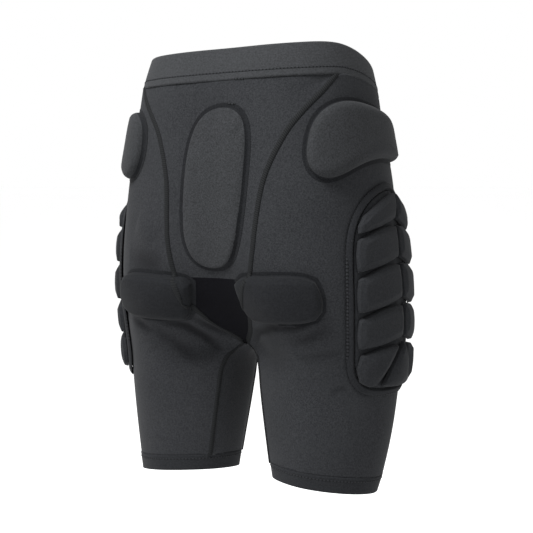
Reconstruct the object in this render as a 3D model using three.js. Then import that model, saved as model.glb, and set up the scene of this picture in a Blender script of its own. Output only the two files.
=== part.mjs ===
// Padded protective shorts, worn for sport: a stretch knit garment with foam pads sewn on.
// Millimetres, +Z up. The front faces -Y, the back +Y, and the wearer's left is +X.
// The origin is the middle of the waistband's top opening, where the wearer's waist holds it.
import * as THREE from 'three';

// Lengths of the garment down its back
const WAISTBAND_HEIGHT = 35;
const RISE = 311;
const INSEAM = 148;
const HEM_HEIGHT = 18;

// Sizes of the wearer that the cloth follows
const HIP_WIDTH = 345;
const HIP_DEPTH = 256;
const HEM_GAP = 66;
const GUSSET_GAP = 88;
const CROTCH_SAG = 10;
const CROTCH_ARCH = 34;
const GAP_START = 0.45;
const GUSSET_START = 0.5;
const LEG_LEAN = 0.09;
const LEVEL_BACK = 75;

// Cloth thicknesses and clearances
const CLOTH = 1.8;
const BAND_CLOTH = 2.6;
const BAND_PROUD = 0.6;
const SEAM_GAP = 0.3;
const BAND_GAP = 0.8;
const CROTCH_GAP = 2.5;
const PAD_SEAT = 1;
const HOLLOW_SEAT = 1.4;

// Half widths of the middle panels, at the waistband and at the crotch
const BACK_PANEL_TOP = 134;
const FRONT_PANEL_TOP = 74;
const PANEL_FOOT = 2;

// Foam pads: their stitched rim lies on the cloth, and the foam rises inside it
const RIM = 4.5;
const RIM_THICKNESS = 1.2;
const SHOULDER_RISE = 0.6;
const BEVEL = 7;
const TAILBONE = { width: 88, height: 194, down: 159, thickness: 7, crown: 1.5 };
const HIP = { width: 200, height: 96, down: 108, aside: -25, thickness: 12, crown: 1 };
const SIT = { width: 118, height: 62, down: 283, leftDown: 287, aside: 86, thickness: 12.5, crown: 1.5 };

// The long side pad: a foam sheet with raised blocks, and a sewn binding round it
const THIGH_PAD_WIDTH = 162;
const THIGH_PAD_LENGTH = 246;
const THIGH_PAD_DOWN = 150;
const BINDING_WIDTH = 9.5;
const BINDING_HEIGHT = 4.6;
const BACKING_TOP = 3;
const BACKING_GAP = 0.45;
const BLOCK_SEAT = 1.1;
const FAN_SEAT = 1.6;
const BLOCK_TOP = 12.5;
const BLOCK_MIDDLE = 8;
const BACKING_STEPS = 4;
const BACKING_SPINE = 0.45;
const GROOVE = 1.6;
const GROOVE_BEND = 1.5;
const BLOCK_BEVEL = 8;
const BLOCK_SHOULDER = 1.2;
const BLOCK_CROWN = 0.8;
const CORNER_PULL = 3;

// Facets of the cloth and of the pads
const SIDE_COLUMNS = 18;
const MIDDLE_COLUMNS = 8;
const INSIDE_COLUMNS = 5;
const BAND_COLUMNS = 36;
const HEM_COLUMNS = 20;
const TORSO_ROWS = 16;
const LEG_ROWS = [0, 0.035, 0.11, 0.22, 0.34, 0.48, 0.63, 0.81, 1];
const PAD_POINTS = { tailbone: 26, hip: 24, sit: 22, thigh: 34 };

const CROTCH_DOWN = WAISTBAND_HEIGHT + RISE;
const HEM_DOWN = CROTCH_DOWN + INSEAM;
const LENGTH = HEM_DOWN + HEM_HEIGHT;
const HALF_WIDTH = HIP_WIDTH / 2;
const HALF_DEPTH = HIP_DEPTH / 2;

// Sections of the left half, from the waistband's top to the hem's lower edge.
// down: share of the rise, then of the leg with its hem
// mid, outer: x of the fullest back and of the side, shares of half the hip width
// back, front, side, backIn, frontIn: y of the fullest back and front, of the side, and of the
// two ends at the middle of the body or inside the leg, shares of half the hip depth
// fullBack, fullFront: how far the corners fill out, 0.71 on an ellipse
// drop: fall of the front half, tilt: slope from front to back, roll: slope from side to side
// twist: degrees that the section is turned
const WAIST = {
  mid: 0.35, outer: 0.785, back: 0.755, front: -0.725, side: 0.02, backIn: 0.75, frontIn: -0.725,
  fullBack: 0.71, fullFront: 0.71, drop: 0.40, tilt: 0, roll: -0.06, twist: 8,
};
const TORSO = [
  {
    down: 0, mid: 0.35, outer: 0.83, back: 0.85, front: -0.71, side: 0.06, backIn: 0.84, frontIn: -0.71,
    fullBack: 0.71, fullFront: 0.71, drop: 0.28, tilt: 0, roll: -0.05, twist: 7.5,
  },
  {
    down: 0.16, mid: 0.37, outer: 0.87, back: 0.90, front: -0.78, side: 0.05, backIn: 0.87, frontIn: -0.78,
    fullBack: 0.71, fullFront: 0.71, drop: 0.17, tilt: 0, roll: -0.03, twist: 5.5,
  },
  {
    down: 0.36, mid: 0.41, outer: 0.93, back: 0.95, front: -0.86, side: 0.04, backIn: 0.91, frontIn: -0.86,
    fullBack: 0.71, fullFront: 0.71, drop: 0.07, tilt: 0, roll: -0.01, twist: 3,
  },
  {
    down: 0.58, mid: 0.45, outer: 0.975, back: 0.98, front: -0.85, side: 0.03, backIn: 0.92, frontIn: -0.82,
    fullBack: 0.71, fullFront: 0.72, drop: 0.02, tilt: 0, roll: 0, twist: 1,
  },
  {
    down: 0.78, mid: 0.50, outer: 1.02, back: 0.93, front: -0.77, side: 0.02, backIn: 0.80, frontIn: -0.66,
    fullBack: 0.70, fullFront: 0.73, drop: 0, tilt: 0, roll: 0, twist: 0,
  },
  {
    down: 0.91, mid: 0.53, outer: 1.035, back: 0.82, front: -0.68, side: 0.03, backIn: 0.56, frontIn: -0.44,
    fullBack: 0.68, fullFront: 0.74, drop: 0, tilt: 0, roll: 0, twist: 0,
  },
];
const LEG = [
  {
    down: 0, mid: 0.555, outer: 1.04, back: 0.76, front: -0.62, side: 0.06, backIn: 0.32, frontIn: -0.12,
    fullBack: 0.66, fullFront: 0.75, drop: 0, tilt: 0, roll: 0, twist: 0,
  },
  {
    down: 0.18, mid: 0.565, outer: 1.03, back: 0.715, front: -0.56, side: 0.08, backIn: 0.42, frontIn: -0.24,
    fullBack: 0.65, fullFront: 0.76, drop: 0, tilt: 0, roll: 0, twist: 0,
  },
  {
    down: 0.5, mid: 0.57, outer: 1.00, back: 0.67, front: -0.49, side: 0.10, backIn: 0.44, frontIn: -0.21,
    fullBack: 0.65, fullFront: 0.76, drop: 0, tilt: 0.03, roll: 0, twist: 0,
  },
  {
    down: 0.83, mid: 0.56, outer: 0.95, back: 0.635, front: -0.40, side: 0.12, backIn: 0.44, frontIn: -0.16,
    fullBack: 0.66, fullFront: 0.75, drop: 0, tilt: 0.07, roll: 0, twist: 0,
  },
  {
    down: 1, mid: 0.55, outer: 0.91, back: 0.62, front: -0.35, side: 0.14, backIn: 0.43, frontIn: -0.14,
    fullBack: 0.68, fullFront: 0.73, drop: 0, tilt: 0.10, roll: 0, twist: 0,
  },
];
const KEYS = [
  { ...WAIST, down: 0 },
  ...TORSO.map((row) => ({ ...row, down: WAISTBAND_HEIGHT + row.down * RISE })),
  ...LEG.map((row) => ({ ...row, down: CROTCH_DOWN + row.down * (INSEAM + HEM_HEIGHT) })),
];

const shares = (count) => Array.from({ length: count + 1 }, (_, i) => i / count);
const mix = (a, b, t) => a + (b - a) * t;

// Columns of the table as smooth curves that never overshoot its rows
function track(xs, ys) {
  const slopes = xs.slice(1).map((x, i) => (ys[i + 1] - ys[i]) / (x - xs[i]));
  const tangents = xs.map((x, i) => {
    if (i === 0) return slopes[0];
    if (i === xs.length - 1) return slopes[i - 1];
    return slopes[i - 1] * slopes[i] <= 0 ? 0 : 2 / (1 / slopes[i - 1] + 1 / slopes[i]);
  });
  return (x) => {
    let i = 0;
    while (i < xs.length - 2 && x > xs[i + 1]) i += 1;
    const step = xs[i + 1] - xs[i];
    const t = (x - xs[i]) / step;
    const rise = (1 - t) * tangents[i] - t * tangents[i + 1];
    const blend = t * t * (3 - 2 * t);
    return ys[i] * (1 - blend) + ys[i + 1] * blend + t * (1 - t) * rise * step;
  };
}

const column = (name, scale = 1) => track(KEYS.map((row) => row.down), KEYS.map((row) => row[name] * scale));
const BODY = {
  mid: column('mid', HALF_WIDTH),
  outer: column('outer', HALF_WIDTH),
  back: column('back', HALF_DEPTH),
  front: column('front', HALF_DEPTH),
  side: column('side', HALF_DEPTH),
  backIn: column('backIn', HALF_DEPTH),
  frontIn: column('frontIn', HALF_DEPTH),
  fullBack: column('fullBack'),
  fullFront: column('fullFront'),
  drop: column('drop'),
  tilt: column('tilt'),
  roll: column('roll'),
  twist: column('twist', Math.PI / 180),
};

// Below the crotch the inside of each leg starts level, arches down and leaves the middle
function insideX(down, gapAtHem, startShare) {
  if (down <= CROTCH_DOWN) return 0;
  const below = down - CROTCH_DOWN;
  const t = Math.min(1, below / CROTCH_ARCH);
  const arch = Math.sqrt(1 - (1 - t) * (1 - t));
  const share = below / (LENGTH - CROTCH_DOWN);
  return gapAtHem / 2 * arch * (startShare + (1 - startShare) * share);
}

// A section has an outer run, from the back middle round the side to the front middle,
// and below the crotch an inner run that closes the leg
function makeSection(down) {
  const at = Object.fromEntries(Object.entries(BODY).map(([name, curve]) => [name, curve(down)]));
  const knot = (x, y, z = 0) => new THREE.Vector3(x, y, z);
  const corner = (y, full) => knot(at.mid + (at.outer - at.mid) * full, at.side + (y - at.side) * full);
  const open = Math.min(1, Math.max(0, down - CROTCH_DOWN) / CROTCH_ARCH);
  const seamX = insideX(down, GUSSET_GAP, GUSSET_START);
  const middle = (at.backIn + at.frontIn) / 2;
  const inside = knot(insideX(down, HEM_GAP, GAP_START), middle, -CROTCH_SAG * (1 - open));
  const run = [
    knot(seamX, at.backIn),
    knot(at.mid, at.back),
    corner(at.back, at.fullBack),
    knot(at.outer, at.side),
    corner(at.front, at.fullFront),
    knot(at.mid, at.front),
    knot(seamX, at.frontIn),
  ];
  const across = (point) => knot(-point.x, point.y, point.z).lerp(inside, open);
  const beside = (point) => knot(mix(seamX, point.x, open), point.y);
  return {
    at,
    outer: measured([across(run[1]), ...run, across(run[5])]),
    inner: down < CROTCH_DOWN ? null : measured([beside(run[5]), run[6], inside, run[0], beside(run[1])]),
  };
}

// Points of a smooth curve between its second and last but one knot, with the length along it
const SAMPLES_PER_KNOT = 20;
function measured(knots) {
  const curve = new THREE.CatmullRomCurve3(knots);
  const first = 1 / (knots.length - 1);
  const count = SAMPLES_PER_KNOT * (knots.length - 3);
  const points = [];
  const lengths = [];
  for (let i = 0; i <= count; i += 1) {
    const point = curve.getPoint(first + (1 - 2 * first) * i / count);
    lengths.push(i === 0 ? 0 : lengths[i - 1] + point.distanceTo(points[i - 1]));
    points.push(point);
  }
  return { points, lengths, total: lengths[count] };
}

function along(run, length) {
  let i = 0;
  while (i < run.lengths.length - 2 && length > run.lengths[i + 1]) i += 1;
  const t = (length - run.lengths[i]) / (run.lengths[i + 1] - run.lengths[i]);
  return run.points[i].clone().lerp(run.points[i + 1], t);
}

const sections = new Map();
function section(down) {
  if (!sections.has(down)) sections.set(down, makeSection(down));
  return sections.get(down);
}
const girth = (down) => section(down).outer.total;

// A point of the cloth: round is the distance from the back middle towards the front.
// Past either end it lies inside the leg, or above the crotch on the other half.
function outerPoint(round, down) {
  const { outer, inner } = section(down);
  if (round >= 0 && round <= outer.total) return along(outer, round);
  if (inner !== null && down > CROTCH_DOWN) {
    return along(inner, round < 0 ? inner.total + round : round - outer.total);
  }
  const point = along(outer, round < 0 ? -round : 2 * outer.total - round);
  point.x = -point.x;
  return point;
}

// The waist section falls in front, and the garment hangs a little rolled and twisted there
const LEVEL_EASE = 20;
function settle(point, side, down) {
  const { at } = section(down);
  const x = point.x * side;
  const forward = Math.max(0, LEVEL_BACK - point.y);
  const fall = at.drop * forward * forward / (forward + LEVEL_EASE);
  const legShare = Math.max(0, down - CROTCH_DOWN) / (LENGTH - CROTCH_DOWN);
  const lean = LEG_LEAN * legShare * (point.x - at.mid);
  const turned = new THREE.Vector3(x, point.y, point.z - down);
  turned.z += at.tilt * point.y + at.roll * x - fall - lean;
  return turned.applyAxisAngle(new THREE.Vector3(0, 0, 1), at.twist);
}

// The same for the inside of a leg, from the front seam to the back seam
function innerPoint(round, down) {
  const { outer, inner } = section(down);
  if (round < 0) return along(outer, outer.total + round);
  return round > inner.total ? along(outer, round - inner.total) : along(inner, round);
}

const outside = (side) => (round, down) => settle(outerPoint(round, down), side, down);
const insideLeg = (side) => (round, down) => settle(innerPoint(round, down), side, down);

// The outward direction of the cloth, level across the middle of the body
const REACH = 3;
function outward(where, side, round, down, highest = 0) {
  const up = where(round, Math.max(highest, down - REACH));
  up.sub(where(round, Math.min(LENGTH, down + REACH)));
  const normal = where(round + REACH, down).sub(where(round - REACH, down)).cross(up);
  if (down === CROTCH_DOWN && (highest > 0 || round === 0)) normal.x = 0;
  return normal.multiplyScalar(-side).normalize();
}

function lifted(where, side, highest) {
  return (round, down, lift) => {
    const normal = outward(where, side, round, down, highest);
    return where(round, down).addScaledVector(normal, lift);
  };
}
const onBody = (side) => lifted(outside(side), side, 0);
const onInside = (side) => lifted(insideLeg(side), side, CROTCH_DOWN);

// Meshes from rows of points
function solid(points, triangles) {
  const volume = triangles.reduce((sum, [a, b, c]) => {
    return sum + points[a].dot(new THREE.Vector3().crossVectors(points[b], points[c]));
  }, 0);
  const faces = volume < 0 ? triangles.map(([a, b, c]) => [a, c, b]) : triangles;
  const geometry = new THREE.BufferGeometry().setFromPoints(points);
  geometry.setIndex(faces.flat());
  geometry.computeVertexNormals();
  return geometry;
}

// A wall between two equal grids of points, closed at its rim, or wrapped round into a ring
function wall(front, back, wrapped = false) {
  const rows = front.length;
  const columns = front[0].length;
  const points = [...front.flat(), ...back.flat()];
  const triangles = [];
  const quad = (a, b, c, d) => triangles.push([a, b, c], [a, c, d]);
  const at = (layer, i, j) => layer * rows * columns + i * columns + j % columns;
  const lastColumn = wrapped ? columns : columns - 1;
  for (let j = 0; j < lastColumn; j += 1) {
    for (let i = 0; i < rows - 1; i += 1) {
      quad(at(0, i, j), at(0, i + 1, j), at(0, i + 1, j + 1), at(0, i, j + 1));
      quad(at(1, i, j), at(1, i, j + 1), at(1, i + 1, j + 1), at(1, i + 1, j));
    }
    quad(at(0, 0, j), at(0, 0, j + 1), at(1, 0, j + 1), at(1, 0, j));
    quad(at(0, rows - 1, j), at(1, rows - 1, j), at(1, rows - 1, j + 1), at(0, rows - 1, j + 1));
  }
  for (let i = 0; i < rows - 1 && !wrapped; i += 1) {
    const last = columns - 1;
    quad(at(0, i, 0), at(1, i, 0), at(1, i + 1, 0), at(0, i + 1, 0));
    quad(at(0, i, last), at(0, i + 1, last), at(1, i + 1, last), at(1, i, last));
  }
  return solid(points, triangles);
}

// Rings of equal length joined one after the next, each end closed by a point in its middle
function ringed(rings, firstPoint, lastPoint) {
  const count = rings[0].length;
  const points = [...rings.flat(), firstPoint, lastPoint];
  const first = points.length - 2;
  const triangles = [];
  for (let j = 0; j < count; j += 1) {
    const k = (j + 1) % count;
    const last = (rings.length - 1) * count;
    triangles.push([first, k, j], [first + 1, last + j, last + k]);
    for (let i = 0; i < rings.length - 1; i += 1) {
      const a = i * count;
      const b = a + count;
      triangles.push([a + j, a + k, b + k], [a + j, b + k, b + j]);
    }
  }
  return solid(points, triangles);
}

// Cloth panels between two seams
function panel({ surface, rows, from, to, columns, proud = 0, thickness = CLOTH }) {
  const grid = (lift) => rows.map((down) => shares(columns).map((t) => {
    return surface(mix(from(down), to(down), t), down, lift);
  }));
  return wall(grid(proud), grid(proud - thickness));
}

// A ring of cloth right round the body or a leg
function band({ surface, rows, start, length, columns, proud, thickness }) {
  const grid = (lift) => rows.map((down) => shares(columns).slice(0, -1).map((t) => {
    return surface(start(down) + length(down) * t, down, lift);
  }));
  return wall(grid(proud), grid(proud - thickness), true);
}

const torsoRows = shares(TORSO_ROWS).map((t) => CROTCH_DOWN - RISE * (1 - t) - CROTCH_GAP * (t === 1));
const legRows = LEG_ROWS.map((t) => CROTCH_DOWN + INSEAM * t);
const half = SEAM_GAP / 2;
function trimmed(rows, footGap = BAND_GAP / 2) {
  return rows.map((down, i) => {
    if (i === 0) return down + BAND_GAP / 2;
    return i === rows.length - 1 ? down - footGap : down;
  });
}

// The long seams: from the waistband down to the crotch, then down the inside of the leg
const SEAM_STOPS = [0, 0.205, 0.395, 0.6, 0.79, 0.915, 1];
const BACK_SEAM = [1, 0.61, 0.466, 0.43, 0.352, 0.21, PANEL_FOOT / BACK_PANEL_TOP];
const FRONT_SEAM = [1, 0.92, 0.80, 0.66, 0.48, 0.25, PANEL_FOOT / FRONT_PANEL_TOP];
function seam(sharesOfTop, top) {
  const curve = track(SEAM_STOPS.map((t) => WAISTBAND_HEIGHT + t * RISE), sharesOfTop.map((s) => s * top));
  return (down) => (down > CROTCH_DOWN ? 0 : curve(down));
}
const backSeam = seam(BACK_SEAM, BACK_PANEL_TOP);
const frontSeam = seam(FRONT_SEAM, FRONT_PANEL_TOP);

function backPanel() {
  return panel({
    surface: onBody(1),
    rows: trimmed(torsoRows, 0),
    from: (down) => half - backSeam(down),
    to: (down) => backSeam(down) - half,
    columns: MIDDLE_COLUMNS,
  });
}

function frontPanel() {
  return panel({
    surface: onBody(1),
    rows: trimmed(torsoRows, 0),
    from: (down) => girth(down) - frontSeam(down) + half,
    to: (down) => girth(down) + frontSeam(down) - half,
    columns: MIDDLE_COLUMNS,
  });
}

function sidePanel(side) {
  return panel({
    surface: onBody(side),
    rows: trimmed([...torsoRows, ...legRows]),
    from: (down) => backSeam(down) + half,
    to: (down) => girth(down) - frontSeam(down) - half,
    columns: SIDE_COLUMNS,
  });
}

function innerLegPanel(side) {
  const inner = onInside(side);
  const topGap = (down) => (down === CROTCH_DOWN ? SEAM_GAP : 0);
  return panel({
    surface: (round, down, lift) => {
      const point = inner(round, down, lift);
      point.x += side * (topGap(down) / 2 + (down === CROTCH_DOWN ? half : 0));
      point.z -= topGap(down) * 2;
      return point;
    },
    rows: [...legRows.slice(0, -1), HEM_DOWN - BAND_GAP / 2],
    from: (down) => half + 2 * topGap(down),
    to: (down) => section(down).inner.total - half - 2 * topGap(down),
    columns: INSIDE_COLUMNS,
  });
}

function waistband() {
  return band({
    surface: onBody(1),
    rows: [0, WAISTBAND_HEIGHT / 2, WAISTBAND_HEIGHT - BAND_GAP / 2],
    start: (down) => -girth(down),
    length: (down) => 2 * girth(down),
    columns: BAND_COLUMNS,
    proud: BAND_PROUD,
    thickness: BAND_CLOTH,
  });
}

function legHem(side) {
  return band({
    surface: onBody(side),
    rows: [HEM_DOWN + BAND_GAP / 2, LENGTH],
    start: () => 0,
    length: (down) => girth(down) + section(down).inner.total,
    columns: HEM_COLUMNS,
    proud: BAND_PROUD,
    thickness: BAND_CLOTH,
  });
}

// Pads lie on the cloth. Their outlines are closed curves through a few points, given as shares
// of the pad's half width and half height, and run round with the centre on their inner side.
const SQUARENESS = 3;
const TAILBONE_OUTLINE = superellipse(SQUARENESS, PAD_POINTS.tailbone);
const HIP_OUTLINE = [
  [-1.0, 0.44], [-0.96, 0], [-0.86, -0.52], [-0.71, -0.81], [-0.55, -0.95], [-0.3, -1.0], [0.05, -1.0],
  [0.4, -0.98], [0.7, -0.92], [0.89, -0.75], [0.98, -0.48], [1.0, -0.15], [0.97, 0.17], [0.85, 0.38],
  [0.65, 0.43], [0.36, 0.4], [0.06, 0.46], [-0.25, 0.63], [-0.49, 0.85], [-0.69, 0.99], [-0.825, 0.96],
  [-0.95, 0.78],
];
const SIT_OUTLINE = [
  [-1.0, -0.62], [-0.9, -0.83], [-0.7, -0.93], [-0.4, -0.97], [0.0, -1.0], [0.5, -1.0], [0.8, -0.84],
  [0.95, -0.4], [1.0, 0.1], [0.94, 0.6], [0.76, 0.9], [0.4, 1.0], [0.0, 1.0], [-0.45, 1.0],
  [-0.7, 0.88], [-0.84, 0.4], [-0.96, -0.2],
];
const THIGH_OUTLINE = [
  [0, -1], [0.31, -0.945], [0.6, -0.85], [0.79, -0.72], [0.91, -0.59], [0.975, -0.46], [1, -0.18], [1, 0.08],
  [0.94, 0.37], [0.85, 0.66], [0.78, 0.84], [0.62, 0.95], [0.4, 1], [0, 1],
];

function superellipse(power, count) {
  const bend = (value) => Math.sign(value) * Math.abs(value) ** (2 / power);
  const turns = shares(count).slice(0, -1).map((t) => 2 * Math.PI * t);
  return turns.map((turn) => [bend(Math.cos(turn)), bend(Math.sin(turn))]);
}

function traced(outline, width, height, count) {
  const knots = outline.map(([a, b]) => new THREE.Vector3(a * width / 2, b * height / 2, 0));
  return new THREE.CatmullRomCurve3(knots, true).getSpacedPoints(count).slice(0, -1).map((p) => [p.x, p.y]);
}

// The outline moved in by a distance, square to the edges on both sides of each point
function insetBy(outline, distance) {
  const area = outline.reduce((sum, [x, y], i) => {
    const [u, v] = outline[(i + 1) % outline.length];
    return sum + x * v - y * u;
  }, 0);
  const inward = (a, b) => {
    const reach = Math.hypot(b[0] - a[0], b[1] - a[1]) * Math.sign(area);
    return [(a[1] - b[1]) / reach, (b[0] - a[0]) / reach];
  };
  return outline.map((point, i) => {
    const before = inward(outline.at(i - 1), point);
    const after = inward(point, outline[(i + 1) % outline.length]);
    const scale = distance / (1 + before[0] * after[0] + before[1] * after[1]);
    return point.map((value, axis) => value + scale * (before[axis] + after[axis]));
  });
}

// The outline drawn in towards its middle, by its own share across and down
function shrunk(outline, share, shareDown = share) {
  const middle = (axis) => outline.reduce((sum, point) => sum + point[axis], 0) / outline.length;
  const [x, y] = [middle(0), middle(1)];
  return outline.map(([u, v]) => [mix(x, u, share), mix(y, v, shareDown)]);
}

// A pad from its outline: a flat rim, a rounded shoulder and a slightly crowned face
function foamPad({ lay, outline, thickness, crown, steps, seat = PAD_SEAT }) {
  const top = seat + RIM_THICKNESS;
  const face = insetBy(outline, RIM + BEVEL);
  const ring = (points, lift) => points.map(([u, v]) => lay(u, v, lift));
  const inner = shares(steps).slice(1, -1);
  const centre = (lift) => ring(shrunk(outline, 0), lift)[0];
  const rings = [
    ...inner.map((t) => ring(shrunk(outline, t), seat)),
    ring(outline, seat),
    ring(outline, top),
    ring(insetBy(outline, RIM), top),
    ring(insetBy(outline, RIM + BEVEL / 4), mix(top, thickness, SHOULDER_RISE)),
    ring(face, thickness),
    ...inner.toReversed().map((t) => ring(shrunk(face, t), thickness + crown * (1 - t * t))),
  ];
  return ringed(rings, centre(seat), centre(thickness + crown));
}

function tailbonePad() {
  const surface = onBody(1);
  return foamPad({
    ...TAILBONE,
    lay: (u, v, lift) => surface(u, TAILBONE.down + v, lift),
    outline: traced(TAILBONE_OUTLINE, TAILBONE.width, TAILBONE.height, PAD_POINTS.tailbone),
    steps: 4,
    seat: HOLLOW_SEAT,
  });
}

// Pads at the side are placed from the line down the widest side
const SIDE_KNOT = 3;
const sideLine = (down) => section(down).outer.lengths[SIDE_KNOT * SAMPLES_PER_KNOT];
function hipPad(side) {
  const surface = onBody(side);
  return foamPad({
    ...HIP,
    lay: (u, v, lift) => surface(sideLine(HIP.down + v) + HIP.aside + u, HIP.down + v, lift),
    outline: traced(HIP_OUTLINE, HIP.width, HIP.height, PAD_POINTS.hip),
    steps: 5,
    seat: HOLLOW_SEAT,
  });
}

function sitPad(side) {
  const surface = onBody(side);
  const down = side > 0 ? SIT.leftDown : SIT.down;
  return foamPad({
    ...SIT,
    lay: (u, v, lift) => surface(SIT.aside + u, down + v, lift),
    outline: traced(SIT_OUTLINE, SIT.width, SIT.height, PAD_POINTS.sit),
    steps: 3,
  });
}

// The long side pads
const thighOutline = traced(
  [...THIGH_OUTLINE, ...THIGH_OUTLINE.slice(1, -1).toReversed().map(([a, b]) => [-a, b])],
  THIGH_PAD_WIDTH,
  THIGH_PAD_LENGTH,
  PAD_POINTS.thigh,
).map(([u, v]) => [u, v + THIGH_PAD_LENGTH / 2]);
const layThigh = (side) => {
  const surface = onBody(side);
  return (u, v, lift) => surface(sideLine(THIGH_PAD_DOWN + v) + u, THIGH_PAD_DOWN + v, lift);
};
// A nudge keeps the stops apart where the outline is level
const NUDGE = 0.001;
const halfAcross = track(
  THIGH_OUTLINE.map(([, b], i) => (1 + b) * THIGH_PAD_LENGTH / 2 + i * NUDGE),
  THIGH_OUTLINE.map(([a]) => a * THIGH_PAD_WIDTH / 2),
);

// The binding's section, in shares of its width from the outer edge and of its height
const BINDING_SECTION = [
  { inset: 0, rise: 0 },
  { inset: 0.15, rise: 0.62 },
  { inset: 0.7, rise: 1 },
  { inset: 1, rise: 0 },
];
function thighBinding(side) {
  const lay = layThigh(side);
  return tube(BINDING_SECTION.map(({ inset, rise }) => {
    const outline = insetBy(thighOutline, inset * BINDING_WIDTH);
    return outline.map(([u, v]) => lay(u, v, mix(PAD_SEAT, BINDING_HEIGHT, rise)));
  }));
}

// Closed loops joined into a ring, the last one back to the first
function tube(loops) {
  const count = loops[0].length;
  const triangles = [];
  for (let i = 0; i < loops.length; i += 1) {
    const a = i * count;
    const b = (i + 1) % loops.length * count;
    for (let j = 0; j < count; j += 1) {
      const k = (j + 1) % count;
      triangles.push([a + j, a + k, b + k], [a + j, b + k, b + j]);
    }
  }
  return solid(loops.flat(), triangles);
}

function thighBacking(side) {
  const lay = layThigh(side);
  const outline = insetBy(thighOutline, BINDING_WIDTH + BACKING_GAP);
  const ring = (share, lift) => {
    return shrunk(outline, share, mix(BACKING_SPINE, 1, share)).map(([u, v]) => lay(u, v, lift));
  };
  const inner = shares(BACKING_STEPS).slice(1);
  const centre = (lift) => {
    const [u, v] = shrunk(outline, 0)[0];
    return lay(u, v, lift);
  };
  return ringed(
    [...inner.map((t) => ring(t, PAD_SEAT)), ...inner.toReversed().map((t) => ring(t, BACKING_TOP))],
    centre(PAD_SEAT),
    centre(BACKING_TOP),
  );
}

// Blocks between the grooves. Each groove arches down from the middle by its drop.
const GROOVES = [
  { down: 0.035, drop: 0.13 },
  { down: 0.195, drop: 0.07 },
  { down: 0.38, drop: 0.062 },
  { down: 0.57, drop: 0.055 },
  { down: 0.75, drop: 0.045 },
];
const FAN = { apex: 0.755, foot: 0.965, halfFoot: 0.5, cheek: 0.935 };
const blockEdge = (v) => halfAcross(v) - BINDING_WIDTH - SEAM_GAP;
const halfFan = (t) => FAN.halfFoot * t * THIGH_PAD_WIDTH / 2;

function rowCell(row, turn) {
  const [top, foot] = [GROOVES[row], GROOVES[row + 1]];
  return (s, t) => {
    const at = (groove) => (groove.down + groove.drop * s ** GROOVE_BEND) * THIGH_PAD_LENGTH;
    const v = mix(at(top), at(foot), t);
    return [mix(BLOCK_MIDDLE, turn * blockEdge(v), s), v];
  };
}

function cheekCell(turn) {
  const groove = GROOVES.at(-1);
  return (s, t) => {
    const outer = mix(groove.down + groove.drop, FAN.cheek, t) * THIGH_PAD_LENGTH;
    const inner = mix(groove.down, FAN.foot, t) * THIGH_PAD_LENGTH;
    const v = mix(inner, outer, s);
    return [mix(BLOCK_MIDDLE + turn * halfFan(t), turn * blockEdge(v), s), v];
  };
}

function fanCell() {
  return (s, t) => {
    const v = mix(FAN.apex, FAN.foot, t) * THIGH_PAD_LENGTH;
    return [BLOCK_MIDDLE + (2 * s - 1) * halfFan(t), v];
  };
}

const BLOCK_CELLS = [3, 2];
function block(lay, cell, seat = BLOCK_SEAT) {
  const [columns, rows] = BLOCK_CELLS;
  const size = (a, b) => Math.hypot(a[0] - b[0], a[1] - b[1]);
  const wide = size(cell(0, 0.5), cell(1, 0.5));
  const tall = size(cell(0.5, 0), cell(0.5, 1));
  const grid = (inset, lift, crown = 0) => shares(rows).map((t) => shares(columns).map((s) => {
    const corner = (s === 0 || s === 1) && (t === 0 || t === 1);
    const margin = inset + (corner ? CORNER_PULL : 0);
    const [u, v] = cell(
      mix(margin / wide, 1 - margin / wide, s),
      mix(margin / tall, 1 - margin / tall, t),
    );
    return lay(u, v, lift + (s > 0 && s < 1 && t > 0 && t < 1 ? crown : 0));
  }));
  const foot = BACKING_TOP + seat;
  return stacked([
    grid(GROOVE / 2, foot),
    grid(GROOVE / 2 + BLOCK_SHOULDER, mix(foot, BLOCK_TOP, SHOULDER_RISE)),
    grid(GROOVE / 2 + BLOCK_BEVEL, BLOCK_TOP, BLOCK_CROWN),
  ]);
}

// Equal grids one above the other: the lowest and highest are faces, the rims join them all
function stacked(grids) {
  const rows = grids[0].length;
  const columns = grids[0][0].length;
  const at = (layer, i, j) => layer * rows * columns + i * columns + j;
  const triangles = [];
  const quad = (a, b, c, d) => triangles.push([a, b, c], [a, c, d]);
  const last = grids.length - 1;
  for (let i = 0; i < rows - 1; i += 1) {
    for (let j = 0; j < columns - 1; j += 1) {
      quad(at(0, i, j), at(0, i, j + 1), at(0, i + 1, j + 1), at(0, i + 1, j));
      quad(at(last, i, j), at(last, i + 1, j), at(last, i + 1, j + 1), at(last, i, j + 1));
    }
  }
  const rim = [];
  for (let j = 0; j < columns - 1; j += 1) rim.push([0, j]);
  for (let i = 0; i < rows - 1; i += 1) rim.push([i, columns - 1]);
  for (let j = columns - 1; j > 0; j -= 1) rim.push([rows - 1, j]);
  for (let i = rows - 1; i > 0; i -= 1) rim.push([i, 0]);
  for (let layer = 0; layer < last; layer += 1) {
    rim.forEach(([i, j], n) => {
      const [k, m] = rim[(n + 1) % rim.length];
      quad(at(layer, i, j), at(layer + 1, i, j), at(layer + 1, k, m), at(layer, k, m));
    });
  }
  return solid(grids.flat(2), triangles);
}

// Materials, one for each mesh
const CLOTHS = {
  knit: { color: '#3e3f42', roughness: 0.88 },
  band: { color: '#484a4c', roughness: 0.9 },
  gusset: { color: '#29292b', roughness: 0.92 },
  pad: { color: '#3b3c3f', roughness: 0.86 },
  foam: { color: '#27282a', roughness: 0.8 },
};
const model = new THREE.Group();
function add(name, geometry, finish) {
  const material = new THREE.MeshStandardMaterial({ ...CLOTHS[finish], metalness: 0 });
  const mesh = new THREE.Mesh(geometry, material);
  mesh.name = name;
  model.add(mesh);
}

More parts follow.
